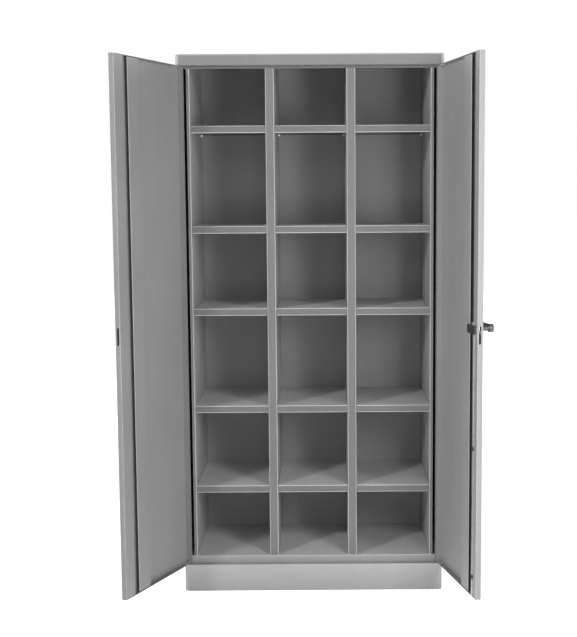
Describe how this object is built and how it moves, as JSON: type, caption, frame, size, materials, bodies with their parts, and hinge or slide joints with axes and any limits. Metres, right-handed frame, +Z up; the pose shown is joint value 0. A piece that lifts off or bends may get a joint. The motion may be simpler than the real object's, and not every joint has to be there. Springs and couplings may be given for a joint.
{
  "type": "pigeonhole cupboard",
  "caption": "Tall steel pigeonhole mail sorter: a shelved carcass on a plinth behind two pivot-hung doors with a lever lock that drives a tongue and two rods.",
  "frame": {"origin": "on the floor, under the middle of the plinth's front face", "axes": "+X to the right of someone facing the doors, +Y to the back, +Z up"},
  "size_m": [1.1505, 0.8626, 1.8],
  "materials": {
    "carcass": "light grey powder coat, satin",
    "door": "light grey powder coat, satin",
    "inner": "light grey powder coat, satin",
    "shelf": "light grey powder coat, satin",
    "zinc": "zinc plated",
    "bush": "black nylon",
    "handle_plastic": "black, fine texture",
    "handle_metal": "dark grey, satin",
    "barrel": "polished"
  },
  "bodies": {
    "cabinet": {"lid": "carcass", "plinth_front": "carcass", "plinth_rear": "carcass", "side_panel_left": "carcass", "side_panel_right": "carcass", "side_liner_left": "inner", "side_liner_right": "inner", "divider_left": "inner", "divider_right": "inner", "back_panel": "inner", "top_stop_rail": "carcass", "floor_pan": "inner", "shelf_r1_c1": "shelf", "shelf_r1_c2": "shelf", "shelf_r1_c3": "shelf", "shelf_r2_c1": "shelf", "shelf_r2_c2": "shelf", "shelf_r2_c3": "shelf", "shelf_r3_c1": "shelf", "shelf_r3_c2": "shelf", "shelf_r3_c3": "shelf", "shelf_r4_c1": "shelf", "shelf_r4_c2": "shelf", "shelf_r4_c3": "shelf", "shelf_r5_c1": "shelf", "shelf_r5_c2": "shelf", "shelf_r5_c3": "shelf", "shelf_clips": "zinc", "pivot_bushes": "bush"},
    "left_door": {"left_door_panel": "door", "left_door_stiffener": "door", "left_door_pivots": "zinc"},
    "right_door": {"right_door_panel": "door", "right_door_stiffener": "door", "right_door_pivots": "zinc", "rod_guides": "bush", "lock_cover": "handle_metal", "handle_base": "handle_plastic", "handle_screws": "zinc"},
    "handle": {"handle_lever": "handle_metal", "handle_spindle": "zinc", "lock_tongue": "zinc"},
    "key_barrel": {"lock_barrel": "barrel"},
    "upper_rod": {"upper_lock_rod": "zinc"},
    "lower_rod": {"lower_lock_rod": "zinc"}
  },
  "joints": [
    {"name": "left_door_hinge", "type": "hinge", "parent": "cabinet", "child": "left_door", "pos_m": [-0.43, 0.009, 0], "axis": [0, 0, 1], "range_deg": [-68.8, 111.2]},
    {"name": "right_door_hinge", "type": "hinge", "parent": "cabinet", "child": "right_door", "pos_m": [0.43, 0.009, 0], "axis": [0, 0, 1], "range_deg": [-101.2, 78.8]},
    {"name": "handle_turn", "type": "hinge", "parent": "right_door", "child": "handle", "pos_m": [0.51623, -0.38016, 0.936], "axis": [-0.981, -0.1942, 0], "range_deg": [0, 90]},
    {"name": "key_turn", "type": "hinge", "parent": "handle", "child": "key_barrel", "pos_m": [0.51623, -0.38016, 0.936], "axis": [-0.981, -0.1942, 0], "range_deg": [0, 90]},
    {"name": "upper_rod_slide", "type": "slide", "parent": "right_door", "child": "upper_rod", "axis": [0, 0, 1], "range_m": [0, 0.0227]},
    {"name": "lower_rod_slide", "type": "slide", "parent": "right_door", "child": "lower_rod", "axis": [0, 0, -1], "range_m": [0, 0.0227]}
  ],
  "couplings": [
    {"joint": "upper_rod_slide", "follows": "handle_turn", "m_per_rad": 0.014405},
    {"joint": "lower_rod_slide", "follows": "handle_turn", "m_per_rad": 0.014405}
  ]
}
